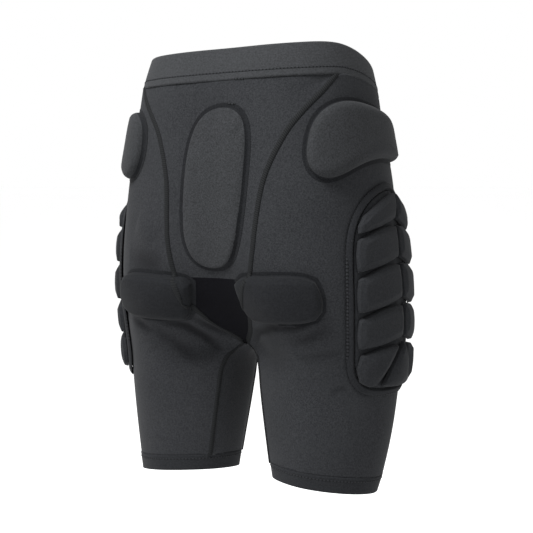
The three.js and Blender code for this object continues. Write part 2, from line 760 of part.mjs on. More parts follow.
add('waistband', waistband(), 'band');
add('centre_back_panel', backPanel(), 'knit');
add('front_panel', frontPanel(), 'knit');
add('tailbone_pad', tailbonePad(), 'pad');
for (const [word, side] of [['left', 1], ['right', -1]]) {
  add(`side_panel_${word}`, sidePanel(side), 'knit');
  add(`inner_leg_panel_${word}`, innerLegPanel(side), 'gusset');
  add(`leg_hem_${word}`, legHem(side), 'knit');
  add(`hip_pad_${word}`, hipPad(side), 'pad');
  add(`sit_pad_${word}`, sitPad(side), 'pad');
  add(`thigh_pad_binding_${word}`, thighBinding(side), 'pad');
  add(`thigh_pad_backing_${word}`, thighBacking(side), 'foam');
  const lay = layThigh(side);
  for (const [place, turn] of [['rear', -1], ['front', 1]]) {
    for (let row = 0; row < GROOVES.length - 1; row += 1) {
      add(`thigh_block_${word}_${row + 1}_${place}`, block(lay, rowCell(row, turn)), 'foam');
    }
    add(`thigh_block_${word}_5_${place}`, block(lay, cheekCell(turn), FAN_SEAT), 'foam');
  }
  add(`thigh_block_${word}_fan`, block(lay, fanCell(), FAN_SEAT), 'foam');
}

export default model;
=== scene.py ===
# %% [markdown]
# # Padded sports shorts in Blender
#
# The shorts are a close stretch garment, shown in the shape that they have when worn. Foam pads
# are sewn on: one over the tailbone, one on each hip, one under each side of the seat and a long
# one of raised blocks down each thigh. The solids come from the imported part, in metres, and this
# lesson dresses them: it smooths the cloth, creases it, swells the foam, sews the seams and gives
# every surface its fabric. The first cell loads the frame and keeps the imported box, which the
# last cell compares with the dressed model.

# %% The frame
import math

import bmesh
import bpy
import numpy as np
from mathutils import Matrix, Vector
from mathutils.bvhtree import BVHTree
from mathutils.geometry import interpolate_bezier


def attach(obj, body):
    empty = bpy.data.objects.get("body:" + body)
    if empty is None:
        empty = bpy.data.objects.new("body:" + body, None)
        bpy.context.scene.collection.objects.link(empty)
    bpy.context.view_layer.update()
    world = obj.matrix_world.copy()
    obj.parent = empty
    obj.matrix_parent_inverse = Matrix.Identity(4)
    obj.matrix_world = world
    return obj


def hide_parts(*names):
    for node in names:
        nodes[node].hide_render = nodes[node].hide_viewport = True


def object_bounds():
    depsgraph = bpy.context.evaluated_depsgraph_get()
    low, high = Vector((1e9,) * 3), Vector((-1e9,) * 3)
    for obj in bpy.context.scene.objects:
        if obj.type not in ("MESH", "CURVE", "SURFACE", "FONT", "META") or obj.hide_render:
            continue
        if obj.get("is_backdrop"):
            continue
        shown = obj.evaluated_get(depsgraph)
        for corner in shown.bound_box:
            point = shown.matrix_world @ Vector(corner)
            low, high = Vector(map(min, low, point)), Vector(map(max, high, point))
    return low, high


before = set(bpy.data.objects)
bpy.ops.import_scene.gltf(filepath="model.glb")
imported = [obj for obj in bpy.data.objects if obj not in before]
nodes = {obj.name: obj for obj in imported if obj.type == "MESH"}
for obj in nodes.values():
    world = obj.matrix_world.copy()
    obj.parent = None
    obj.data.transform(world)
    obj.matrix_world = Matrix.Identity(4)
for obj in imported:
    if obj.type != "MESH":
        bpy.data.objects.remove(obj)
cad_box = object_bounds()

MM = 0.001
TINY = 1e-9  # keeps a length from being zero where it divides
SIDES = ("left", "right")
print("nodes in the frame:", len(nodes))

# %% [markdown]
# ## Helpers for materials
#
# A colour is picked on a screen as an sRGB hex value, but Blender computes light with linear
# values, so one function turns one into the other. A second one adds a shader node with its
# settings and its links in one call, which keeps the materials short.

# %% Colours and nodes
# The sockets of a Mix node share their names, so its colour ones are picked by number
MIX_A, MIX_B, MIX_OUT = 6, 7, 2


def linear(hex_colour):
    values = [int(hex_colour[i:i + 2], 16) / 255 for i in (1, 3, 5)]
    return tuple(v / 12.92 if v <= 0.04045 else ((v + 0.055) / 1.055) ** 2.4
                 for v in values) + (1.0,)


def add_node(tree, kind, settings=None, links=None):
    node = tree.nodes.new(kind)
    for name, value in (settings or {}).items():
        if isinstance(name, str) and hasattr(node, name):
            setattr(node, name, value)
        else:
            node.inputs[name].default_value = value
    for name, source in (links or {}).items():
        tree.links.new(source, node.inputs[name])
    return node


def new_material(name):
    material = bpy.data.materials.new(name)
    material.use_nodes = True
    material.node_tree.nodes.clear()
    return material, material.node_tree


print("mid grey #808080 is linear", round(linear("#808080")[0], 3))

# %% [markdown]
# ## Fabrics
#
# The body is polyester and elastane jersey, circular knitted and piece dyed nearly black. To the
# eye it is matt, with a fine heather of lighter and darker loops. Its loops are about 0.6 mm, too
# fine for one pixel, so the grain is drawn at 1.7 mm. Fibres reflect as most plastics do, so the
# index of refraction is 1.5, but they point every way: the roughness is high, the specular level
# low, and the sheen only a trace, because dark fibres return little light at their edges.
#
# An image of knit would need a flat pattern for each panel. Noise on Object coordinates runs on
# across the seams without one. Where cloth gathers in a fold less light gets in, so each piece
# keeps how deep its creases are in an attribute, and the fabric's colour darkens with it: painted
# shade.

# %% Knitted fabrics
GRAIN = 1.7 * MM
PATCH = 55 * MM
LOOP_DEPTH = 0.22 * MM
FIBRE_IOR = 1.5
# Painted shade: in a crease the fabric's colour is mixed towards this one
CREASE_SHADE_COLOUR = "#0c0c0e"
CREASE_DARKENING = 0.75


def knitted(name, dark, light, sheen=0.02, shine=0.08):
    material, tree = new_material(name)
    place = add_node(tree, "ShaderNodeTexCoord").outputs["Object"]
    loops = add_node(tree, "ShaderNodeTexNoise",
                     {"Scale": 1 / GRAIN, "Detail": 2.5, "Roughness": 0.65}, {"Vector": place})
    patches = add_node(tree, "ShaderNodeTexNoise",
                       {"Scale": 1 / PATCH, "Detail": 2.0}, {"Vector": place})
    spread = add_node(tree, "ShaderNodeMapRange",
                      {"From Min": 0.32, "From Max": 0.68}, {"Value": loops.outputs["Fac"]})
    drift = add_node(tree, "ShaderNodeMath", {"operation": "MULTIPLY_ADD", 1: 0.35},
                     {0: patches.outputs["Fac"], 2: spread.outputs["Result"]})
    share = add_node(tree, "ShaderNodeMath",
                     {"operation": "SUBTRACT", 1: 0.17, "use_clamp": True},
                     {0: drift.outputs["Value"]})
    knit = add_node(tree, "ShaderNodeMix",
                    {"data_type": "RGBA", MIX_A: linear(dark), MIX_B: linear(light)},
                    {"Factor": share.outputs["Value"]})
    # Painted shade, darker as the crease is deeper
    crease = add_node(tree, "ShaderNodeAttribute", {"attribute_name": "crease"})
    painted_crease_shade = add_node(tree, "ShaderNodeMath",
                        {"operation": "MULTIPLY", 1: CREASE_DARKENING},
                        {0: crease.outputs["Fac"]})
    colour = add_node(tree, "ShaderNodeMix", {"data_type": "RGBA", MIX_B: linear(CREASE_SHADE_COLOUR)},
                      {"Factor": painted_crease_shade.outputs["Value"], MIX_A: knit.outputs[MIX_OUT]})
    bump = add_node(tree, "ShaderNodeBump", {"Strength": 0.6, "Distance": LOOP_DEPTH},
                    {"Height": loops.outputs["Fac"]})
    shader = add_node(
        tree, "ShaderNodeBsdfPrincipled",
        {"Roughness": 0.9, "IOR": FIBRE_IOR, "Specular IOR Level": shine,
         "Sheen Weight": sheen, "Sheen Roughness": 0.45},
        {"Base Color": colour.outputs[MIX_OUT], "Normal": bump.outputs["Normal"]})
    add_node(tree, "ShaderNodeOutputMaterial", {}, {"Surface": shader.outputs["BSDF"]})
    return material


# Single jersey on the body, two layers of it in the hems, an airier mesh knit inside the legs
JERSEY = knitted("jersey_knit", "#17181a", "#252628")
HEM_KNIT = knitted("doubled_jersey_hem", "#131416", "#1e1f21")
MESH_KNIT = knitted("mesh_knit", "#1a1b1d", "#28292b")
# Painted shade for the cleft between the seat pads: nearly black, with no sheen and hardly a gloss
CLEFT_SHADE = knitted("open_mesh_insert", "#060608", "#0b0b0e", sheen=0.0, shine=0.04)
# Jersey laminated on foam is stretched and a little paler
PAD_COVER = knitted("jersey_over_foam", "#1a1b1c", "#292a2c")
# The seat pads face down, so their cover's colour is darker: painted shade
SHADED_SEAT_COVER = knitted("jersey_over_firm_foam_painted_shade", "#0d0e10", "#17181a")
BLOCK_COVER = knitted("jersey_on_moulded_foam", "#151618", "#212224")
# Pressed and folded cloth is denser, so its loops close up and it looks darker
CHANNEL = knitted("pressed_seam_channel", "#0e0f11", "#17181a")
EDGE_BINDING = knitted("folded_edge_binding", "#121315", "#1c1d1f")
print("fabrics:", [m.name for m in bpy.data.materials if "jersey" in m.name or "mesh" in m.name])

# %% [markdown]
# The waistband is woven elastic under a brushed face. Its rubber threads run round the waist and
# draw it into fine level ribs 1.6 mm apart, which the eye reads as a slightly paler, finely lined
# band. It starts as knitted fabric, and a wave across the height then bends its normals, since
# ribs 0.2 mm deep would need millions of faces.

# %% Woven elastic
RIB = 1.6 * MM
RIB_DEPTH = 0.2 * MM
WAVE_STEP = 0.314  # how far apart the bands of a Wave texture of scale 1 are


def woven_elastic(name, dark, light):
    material = knitted(name, dark, light, sheen=0.03)
    tree = material.node_tree
    shader, bump, place = (next(n for n in tree.nodes if n.type == kind)
                           for kind in ("BSDF_PRINCIPLED", "BUMP", "TEX_COORD"))
    ribs = add_node(tree, "ShaderNodeTexWave",
                    {"wave_type": "BANDS", "bands_direction": "Z", "Scale": WAVE_STEP / RIB,
                     "Distortion": 0.6}, {"Vector": place.outputs["Object"]})
    rib_bump = add_node(tree, "ShaderNodeBump", {"Strength": 0.5, "Distance": RIB_DEPTH},
                        {"Height": ribs.outputs["Fac"], "Normal": bump.outputs["Normal"]})
    tree.links.new(rib_bump.outputs["Normal"], shader.inputs["Normal"])
    return material


ELASTIC = woven_elastic("woven_elastic", "#1f2021", "#2b2c2e")
print("rib spacing, mm:", RIB / MM)

# %% [markdown]
# Seams are sewn with textured polyester thread, which is fluffy and so nearly as matt as the
# cloth. A flatlock seam joins two edges flat, and its looper thread crosses the join in short
# slanting stitches. A coverstitch shows as a dotted line. Both follow the seam, so their pattern
# reads the strip's own UV map, whose U is the length sewn in metres.

# %% Sewn thread
FLATLOCK_PITCH = 2.4 * MM
COVERSTITCH_PITCH = 4.2 * MM
THREAD_DEPTH = 0.35 * MM
THREAD_EDGE = 0.08  # half the soft edge of a stitch, as a share of the pitch


def sewn(name, dark, light, pitch, slant, fill):
    material, tree = new_material(name)
    uv = add_node(tree, "ShaderNodeUVMap", {"uv_map": "sewn"}).outputs["UV"]
    split = add_node(tree, "ShaderNodeSeparateXYZ", {}, {"Vector": uv})
    lean = add_node(tree, "ShaderNodeMath", {"operation": "MULTIPLY_ADD", 1: slant * pitch},
                    {0: split.outputs["Y"], 2: split.outputs["X"]})
    turns = add_node(tree, "ShaderNodeMath", {"operation": "DIVIDE", 1: pitch},
                     {0: lean.outputs["Value"]})
    phase = add_node(tree, "ShaderNodeMath", {"operation": "FRACT"},
                     {0: turns.outputs["Value"]})
    centred = add_node(tree, "ShaderNodeMath", {"operation": "PINGPONG", 1: 0.5},
                       {0: phase.outputs["Value"]})
    edge = 0.5 - fill / 2
    thread = add_node(tree, "ShaderNodeMapRange",
                      {"From Min": edge - THREAD_EDGE, "From Max": edge + THREAD_EDGE},
                      {"Value": centred.outputs["Value"]})
    colour = add_node(tree, "ShaderNodeMix",
                      {"data_type": "RGBA", MIX_A: linear(dark), MIX_B: linear(light)},
                      {"Factor": thread.outputs["Result"]})
    bump = add_node(tree, "ShaderNodeBump", {"Strength": 0.8, "Distance": THREAD_DEPTH},
                    {"Height": thread.outputs["Result"]})
    shader = add_node(
        tree, "ShaderNodeBsdfPrincipled",
        {"Roughness": 0.85, "IOR": FIBRE_IOR, "Specular IOR Level": 0.1},
        {"Base Color": colour.outputs[MIX_OUT], "Normal": bump.outputs["Normal"]})
    add_node(tree, "ShaderNodeOutputMaterial", {}, {"Surface": shader.outputs["BSDF"]})
    return material


FLATLOCK = sewn("flatlock_thread", "#0b0c0d", "#151617", FLATLOCK_PITCH, 0.6, 0.7)
COVERSTITCH = sewn("coverstitch_thread", "#0b0c0d", "#1d1e20", COVERSTITCH_PITCH, 0.0, 0.6)
print("pitch of flatlock and coverstitch, mm:", FLATLOCK_PITCH / MM, COVERSTITCH_PITCH / MM)

# %% [markdown]
# ## From solids to cloth
#
# A imported node is a bag of loose triangles and is never changed itself. Each piece starts as a
# merged copy of one, and ends as a plain mesh whose object sits at the origin. These helpers make
# the copy, the object, and the plain mesh at the end.

# %% Copies of the imported solids
MERGE_WITHIN = 0.02 * MM


def merged(node_name):
    bm = bmesh.new()
    bm.from_mesh(nodes[node_name].data)
    bmesh.ops.remove_doubles(bm, verts=bm.verts, dist=MERGE_WITHIN)
    return bm


def new_piece(name, bm, material):
    mesh = bpy.data.meshes.new(name)
    bm.to_mesh(mesh)
    bm.free()
    piece = bpy.data.objects.new(name, mesh)
    bpy.context.scene.collection.objects.link(piece)
    mesh.materials.append(material)
    for face in mesh.polygons:
        face.use_smooth = True
    return piece


def applied(piece):
    graph = bpy.context.evaluated_depsgraph_get()
    piece.data = bpy.data.meshes.new_from_object(piece.evaluated_get(graph))
    piece.modifiers.clear()


def positions(piece):
    co = np.empty(len(piece.data.vertices) * 3)
    piece.data.vertices.foreach_get("co", co)
    return co.reshape(-1, 3)


def move_to(piece, points):
    piece.data.vertices.foreach_set("co", np.ascontiguousarray(points).ravel())
    piece.data.update()


def stand_for(piece, slot, *node_names):
    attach(piece, "root")
    if node_names:
        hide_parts(*node_names)


print("triangles in the packed waistband:", len(nodes["waistband"].data.polygons))

# %% [markdown]
# The waistband and the hems are bands sewn over the edge of the panels, so they lap over it. The
# solids only meet there, edge to edge. Moving the band's edge along and slightly outwards is
# enough, and it needs a direction that is outwards at any point: away from the middle of the
# body, and lower down away from the middle of each leg.

# %% Laps
LEG_CENTRE = 97 * MM
LEG_FROM, LEG_TO = -267 * MM, -357 * MM  # the height over which the body turns into two legs
BODY_MIDDLE = 10 * MM  # how far behind the origin the body's own middle is
BODY_SIDEWAYS = 0.6  # the hips are wider than deep, so sideways counts less there
BAND_HEIGHT = 10 * MM  # edges that rise more than this run up the band
LAP_LIFT = 0.5 * MM


def outward(points):
    """Level directions away from the middle of the body, or of each leg below the crotch."""
    below = np.clip((points[:, 2] - LEG_FROM) / (LEG_TO - LEG_FROM), 0, 1)
    below = below * below * (3 - 2 * below)
    x = points[:, 0] - np.sign(points[:, 0]) * LEG_CENTRE * below
    y = points[:, 1] - BODY_MIDDLE
    sideways = BODY_SIDEWAYS + (1 - BODY_SIDEWAYS) * below
    flat = np.stack([x * sideways, y, np.zeros(len(points))], 1)
    return flat / np.maximum(np.linalg.norm(flat, axis=1, keepdims=True), TINY)


def lap_over(bm, lap):
    """Draws the lower edge of a band down, or its upper edge up, over the cloth beside it."""
    for vert in bm.verts:
        rises = [edge.other_vert(vert).co.z - vert.co.z for edge in vert.link_edges]
        upright = [rise for rise in rises if abs(rise) > BAND_HEIGHT]
        if upright and all(rise * lap < 0 for rise in upright):
            vert.co += Vector(outward(np.array([vert.co]))[0]) * LAP_LIFT
            vert.co.z += lap


print("outward beside the left hip:", outward(np.array([[0.17, 0.0, -0.15]])).round(2)[0])

# %% [markdown]
# Cloth has no facets, and the solids are made of flat triangles. Their pairs are joined to quads,
# the rims that are sharper than a set angle are creased, and a Subdivision Surface rounds the
# rest. It keeps the cut edges of the cloth where they are, which a remesh would melt.

# %% Softening
QUAD_FACE_ANGLE, QUAD_SHAPE_ANGLE = math.radians(25), math.radians(80)


def softened(node_name, name, levels, material, crease=1.0, sharp=50, lap=0.0):
    bm = merged(node_name)
    bmesh.ops.join_triangles(bm, faces=bm.faces, angle_face_threshold=QUAD_FACE_ANGLE,
                             angle_shape_threshold=QUAD_SHAPE_ANGLE)
    lap_over(bm, lap)
    layer = bm.edges.layers.float.new("crease_edge")
    for edge in bm.edges:
        if len(edge.link_faces) == 2 and edge.calc_face_angle() > math.radians(sharp):
            edge[layer] = crease
    piece = new_piece(name, bm, material)
    smooth = piece.modifiers.new("smooth", "SUBSURF")
    smooth.levels = smooth.render_levels = levels
    applied(piece)
    return piece


bm = merged("tailbone_pad")
print("sharpest edge of the tailbone pad, degrees:",
      round(max(math.degrees(edge.calc_face_angle(0)) for edge in bm.edges)))
bm.free()

# %% [markdown]
# ## The cloth of the shorts
#
# The shorts are cut from two side panels that each wrap a hip and a leg, a centre panel at the
# back, one at the front, and a gusset of mesh knit inside each leg. A band of elastic closes the
# waist and a hem each leg. Each becomes a piece of its own, so each keeps its own fabric.

# %% Panels, waistband and hems
LAP = 2.4 * MM
CLOTH_PIECES = {
    "waistband": ("elastic_waistband", 3, ELASTIC, "band", -LAP),
    "centre_back_panel": ("back_centre_cloth", 3, JERSEY, "knit", 0),
    "front_panel": ("front_centre_cloth", 2, JERSEY, "knit", 0),
    "side_panel_left": ("side_cloth_left", 3, JERSEY, "knit", 0),
    "side_panel_right": ("side_cloth_right", 3, JERSEY, "knit", 0),
    "inner_leg_panel_left": ("gusset_cloth_left", 3, MESH_KNIT, "gusset", 0),
    "inner_leg_panel_right": ("gusset_cloth_right", 3, MESH_KNIT, "gusset", 0),
    "leg_hem_left": ("hem_cloth_left", 3, HEM_KNIT, "knit", LAP),
    "leg_hem_right": ("hem_cloth_right", 3, HEM_KNIT, "knit", LAP),
}
cloth = {node: softened(node, name, levels, fabric, lap=lap)
         for node, (name, levels, fabric, _, lap) in CLOTH_PIECES.items()}
print("cloth quads:", {n: len(p.data.polygons) for n, p in cloth.items()})

# %% [markdown]
# ## Folds
#
# Stretch cloth is smooth where it is pulled tight. Where the seat ends it slackens, and creases
# run from the pads towards the crotch. A cloth simulation wouldn't put them where these are, so
# each fold is a line on the surface with a height, a width and soft ends. One function moves
# every piece of cloth by all of them, so neighbours stay joined. A negative height is a crease, a
# positive one a ridge.

# %% Fold lines
# Height and width in mm, then the points of the line, in mm too
FOLDS = [
    (-5.5, 5, [(87, 107, -313), (55, 90, -323), (41, 67, -336), (29, 48, -356)]),
    (-4, 4.5, [(46, 93, -311), (26, 69, -327), (8, 46, -339)]),
    (2.2, 4, [(37, 89, -309), (24, 72, -321), (12, 53, -332)]),
    (-2.4, 7, [(93, 103, -324), (68, 82, -349), (48, 68, -369)]),
    (-2.4, 5, [(155, 69, -312), (114, 98, -322), (95, 101, -330)]),
    (-5, 5, [(-16, 47, -341), (-36, 73, -327), (-67, 100, -317), (-108, 104, -311),
             (-134, 93, -300)]),
    (-2.2, 6, [(-90, 99, -337), (-119, 96, -324), (-137, 87, -312)]),
    (-1.8, 5, [(-103, 95, -355), (-127, 87, -348), (-148, 71, -343)]),
    (-1.6, 4.5, [(-132, 76, -393), (-141, 70, -389), (-150, 62, -386)]),
    (-3.2, 14, [(122, 110, -244), (98, 120, -248), (81, 124, -250), (64, 124, -252)]),
    (3, 16, [(104, 117, -201), (88, 124, -209), (77, 127, -221)]),
]
FOLD_REACH = 3  # past this many widths a fold moves nothing
FOLD_ENDS = 0.6  # how soon a fold reaches its height: lower is sooner


def line_distance(points, line):
    """Distance to the nearest stretch of a line, and how far along the line that is, 0 to 1."""
    best = np.full(len(points), np.inf)
    along = np.zeros(len(points))
    last = len(line) - 1
    for i in range(last):
        a, b = line[i], line[i + 1]
        t = np.clip((points - a) @ (b - a) / ((b - a) @ (b - a)), 0, 1)
        gap = np.linalg.norm(points - a - t[:, None] * (b - a), axis=1)
        nearer = gap < best
        best[nearer] = gap[nearer]
        along[nearer] = (i + t[nearer]) / last
    return best, along


def fold_shift(points):
    """How far outwards all the folds together move each point."""
    shift = np.zeros(len(points))
    for height, width, line in FOLDS:
        height, width, line = height * MM, width * MM, np.array(line) * MM
        low, high = line.min(0) - FOLD_REACH * width, line.max(0) + FOLD_REACH * width
        near = np.all((points > low) & (points < high), axis=1)
        if near.any():
            gap, along = line_distance(points[near], line)
            ends = np.sin(np.pi * along) ** FOLD_ENDS
            shift[near] += height * ends * np.exp(-(gap / width) ** 2)
    return shift


def folded(points):
    return points + outward(points) * fold_shift(points)[:, None]


print("folds:", len(FOLDS))

# %% [markdown]
# Two more things happen to the cloth while its points are moved. The depth of the creases is
# kept in an attribute, from which the fabric paints shade into its colour. And the two gussets,
# which the solids hold a few millimetres apart at their tops, are brought together, as they are
# sewn under the crotch.

# %% Folded cloth
# A crease this deep gets the full painted shade
DEEPEST = 4.5 * MM  # a crease this deep is darkened in full
GUSSET_TOP, GUSSET_REACH = -357 * MM, 4 * MM
HAIRLINE = 0.05 * MM


def shade_creases(piece):
    """Keeps how deep each point lies in a crease, for the fabric to paint as shade."""
    depth = np.clip(-fold_shift(positions(piece)) / DEEPEST, 0, 1)
    layer = piece.data.attributes.new("crease", "FLOAT", "POINT")
    layer.data.foreach_set("value", depth.astype(np.float32))


def joined_in_middle(points):
    """Brings the top of a gusset to the middle, where the other one is."""
    near = (np.abs(points[:, 0]) < GUSSET_REACH) & (points[:, 2] > GUSSET_TOP)
    points[near, 0] = np.sign(points[near, 0]) * HAIRLINE
    return points


for side in SIDES:
    gusset = cloth[f"inner_leg_panel_{side}"]
    move_to(gusset, joined_in_middle(positions(gusset)))
for node, (_, _, _, slot, _) in CLOTH_PIECES.items():
    shade_creases(cloth[node])
    move_to(cloth[node], folded(positions(cloth[node])))
    stand_for(cloth[node], slot, node)
print("deepest crease, mm:", round(-min(f[0] for f in FOLDS), 1))

# %% [markdown]
# Between the two seat pads the centre panel runs down into a shaded cleft. There the panel's own
# faces take a second, nearly black material, which is painted shade, instead of a second layer of
# cloth.

# %% Painted shade between the seat pads
CLEFT_SHADE_TOP = -263 * MM
seat = cloth["centre_back_panel"].data
seat.materials.append(CLEFT_SHADE)
# Faces below this height get the painted shade
for face in seat.polygons:
    if face.center.z < CLEFT_SHADE_TOP:
        face.material_index = 1
print("faces of open mesh:", sum(face.material_index for face in seat.polygons))

# %% [markdown]
# ## The surface to sew on
#
# Everything sewn on the cloth has to lie on it, folds included. A search tree of the finished
# cloth answers where the nearest cloth is and which way it faces. The cloth is a wall with an
# inner face and cut edges too, so only the faces that look outwards go in. Under the seat they
# look down more than outwards, so less is asked of them there.

# %% Search tree of the cloth
SEAT_END = -295 * MM
LOOKS_OUT, LOOKS_OUT_UNDER_SEAT = 0.55, 0.15


def surface_of(*pieces):
    """A search tree of the faces that look away from the body."""
    points, faces = [], []
    for piece in pieces:
        start = len(points)
        points += [v.co.copy() for v in piece.data.vertices]
        polygons = piece.data.polygons
        centres = np.array([list(face.center) for face in polygons])
        normals = np.array([list(face.normal) for face in polygons])
        looks = np.sum(normals * outward(centres), axis=1)
        needed = np.where(centres[:, 2] > SEAT_END, LOOKS_OUT, LOOKS_OUT_UNDER_SEAT)
        faces += [[start + i for i in face.vertices]
                  for face, kept in zip(polygons, looks > needed) if kept]
    return BVHTree.FromPolygons(points, faces)


skin = surface_of(*cloth.values())
print("cloth beside the left hip:", skin.find_nearest(Vector((0.2, 0.0, -0.15)))[0])

# %% [markdown]
# ## Foam pads
#
# Each pad is a sheet of closed-cell foam under jersey, pressed down and sewn along its rim. The
# rim is flat and dark, like a channel, and inside it the foam rises over a bevel. The solid's
# copy is smoothed and its rim is laid on the cloth. Then a short cloth simulation with the rim
# pinned blows up the cover, as the foam under it does, so where it gives way it rounds more
# naturally than by a formula. How far a point may move is capped, so the pad keeps its size.

# %% Rims and swelling
RIM_REACH = 3.4 * MM  # points this near to the cloth belong to the rim
CHANNEL_REACH = 4.6 * MM  # and these to the dark channel, which takes in the foot of the bevel
RIM_FACE = 1.8 * MM  # above this a point of the rim is on its upper face
RIM_UP, RIM_UNDER = 0.5 * MM, -0.2 * MM
PRESSURE = 4.0
FRAMES = 20


def lay_rim(piece):
    """Presses the flat rim down on the cloth and gives it the channel's fabric."""
    points = positions(piece)
    low = np.zeros(len(points), bool)
    for i, co in enumerate(points):
        spot, normal, _, gap = skin.find_nearest(Vector(co))
        if gap < RIM_REACH:
            points[i] = spot + normal * (RIM_UP if gap > RIM_FACE else RIM_UNDER)
        low[i] = gap < CHANNEL_REACH
    move_to(piece, points)
    for face in piece.data.polygons:
        if all(low[i] for i in face.vertices):
            face.material_index = 1


def swollen(piece, cap):
    """Blows up the cover by a cloth simulation, and returns how far it went before the cap."""
    start = positions(piece).copy()
    pins = piece.vertex_groups.new(name="sewn_rim")
    held = [i for i, co in enumerate(start) if skin.find_nearest(Vector(co))[3] < RIM_REACH]
    pins.add(held, 1.0, "REPLACE")
    cover = piece.modifiers.new("cover", "CLOTH")
    cover.settings.vertex_group_mass = pins.name
    cover.settings.use_pressure = True
    cover.settings.uniform_pressure_force = PRESSURE
    cover.settings.quality = 5
    cover.settings.mass = 0.2
    cover.settings.tension_stiffness = 20
    cover.settings.compression_stiffness = 20
    cover.settings.effector_weights.gravity = 0
    cover.collision_settings.use_collision = False
    for step in range(1, FRAMES + 1):
        bpy.context.scene.frame_set(step)
    applied(piece)
    bpy.context.scene.frame_set(1)
    moved = positions(piece) - start
    length = np.maximum(np.linalg.norm(moved, axis=1, keepdims=True), TINY)
    move_to(piece, start + moved * np.minimum(1, cap / length))
    return float(length.max())


print("frames of simulation for each pad:", FRAMES)

# %% [markdown]
# The pads over the tailbone and the hips are soft: they may swell by up to 2 mm, and their rims
# are only half sharp. The two seat pads are firmer wedges with crisp bevels. As printed, only
# the pad over the tailbone swells to its cap. The others move by less than half a millimetre, so
# their crown is mostly the solid's own.

# %% Tailbone, hip and seat pads
# Name, cover, cap on the swelling, how tight it is filled, crease and the angle that has one
SOFT_PAD = (PAD_COVER, 2.0 * MM, 0.8, 0.4, 50)
FIRM_PAD = (SHADED_SEAT_COVER, 0.8 * MM, 0.95, 0.7, 28)
PADS = {
    "tailbone_pad": ("tailbone_foam_pad", *SOFT_PAD),
    "hip_pad_left": ("hip_foam_pad_left", *SOFT_PAD),
    "hip_pad_right": ("hip_foam_pad_right", *SOFT_PAD),
    "sit_pad_left": ("sit_foam_pad_left", *FIRM_PAD),
    "sit_pad_right": ("sit_foam_pad_right", *FIRM_PAD),
}
pads = {}
for node, (name, cover, cap, fill, crease, sharp) in PADS.items():
    pad = softened(node, name, 2, cover, crease=crease, sharp=sharp)
    pad.data.materials.append(CHANNEL)
    move_to(pad, folded(positions(pad)))
    lay_rim(pad)
    grown = swollen(pad, cap)
    stand_for(pad, "pad", node)
    pads[node] = pad
    print(name, "swelled freely by mm:", round(grown / MM, 1))

# %% [markdown]
# ## The thigh pads
#
# A thigh pad is a moulded sheet: blocks of foam with bevelled sides stand close together, with
# creases between them where the sheet bends. Under the blocks lies a thin backing, and a folded
# binding is sewn round the edge. The blocks are firm, so they are rounded by subdivision with
# half-sharp creases and aren't simulated.

# %% Backings, bindings and blocks
bindings = {}
for side in SIDES:
    backing = softened(f"thigh_pad_backing_{side}", f"thigh_backing_{side}", 2, BLOCK_COVER,
                       sharp=60)
    stand_for(backing, "foam", f"thigh_pad_backing_{side}")
    binding = softened(f"thigh_pad_binding_{side}", f"thigh_binding_{side}", 3, EDGE_BINDING,
                       crease=0.5)
    stand_for(binding, "pad", f"thigh_pad_binding_{side}")
    bindings[side] = binding
block_nodes = sorted(n for n in nodes if n.startswith("thigh_block_"))
for node in block_nodes:
    block = softened(node, node.replace("thigh_block", "moulded_block"), 3, BLOCK_COVER,
                     crease=0.55, sharp=24)
    stand_for(block, "foam", node)
print("blocks:", len(block_nodes))

# %% [markdown]
# ## Sewing lines
#
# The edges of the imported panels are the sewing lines, so none has to be drawn again. A panel's
# sharp edges form chains, which end where three of them meet at a corner, and a band has closed
# ones. A chain has only a few corners, so a Bezier curve through them gives evenly spaced points.

# %% Chains of sharp edges
def chains(node_name, sharp=50):
    """The chains of a node's sharp edges, each with whether it is closed."""
    bm = merged(node_name)
    links = {}
    for edge in bm.edges:
        if len(edge.link_faces) == 2 and edge.calc_face_angle() > math.radians(sharp):
            for a, b in (edge.verts, reversed(edge.verts)):
                links.setdefault(a.index, []).append(b.index)
    place = [v.co.copy() for v in bm.verts]
    bm.free()
    ends = [v for v, others in links.items() if len(others) != 2]
    used, found = set(), []
    for start in ends + sorted(links):
        for step in links[start]:
            if (start, step) in used:
                continue
            line, before, now = [start], start, step
            used.update({(before, now), (now, before)})
            while True:
                line.append(now)
                if now == start or len(links[now]) != 2:
                    break
                before, now = now, next(v for v in links[now] if v != before)
                used.update({(before, now), (now, before)})
            found.append(([place[v] for v in line], line[0] == line[-1]))
    return found


print("chains of the waistband, by their corners:", [len(c) for c, _ in chains("waistband")])

# %% [markdown]
# A wall of cloth has its edge twice, on the outer and on the inner face, so each sewing line
# comes as two chains. These helpers measure a chain, pick the outer one and smooth it.

# %% Measuring and smoothing chains
BEZIER_POINTS = 9
FEWEST_STEPS = 8


def length_of(line):
    return sum((b - a).length for a, b in zip(line, line[1:]))


def drop_of(line):
    return max(p.z for p in line) - min(p.z for p in line)


def mean_of(line, axis):
    return float(np.mean([p[axis] for p in line]))


def downward(line):
    return line if line[0].z > line[-1].z else line[::-1]


def outer_of(first, second):
    """Of two chains along the same edge, the one further out."""
    def out(line):
        points = np.array([list(p) for p in line])
        return float(np.sum(points * outward(points), axis=1).mean())
    return first if out(first) > out(second) else second


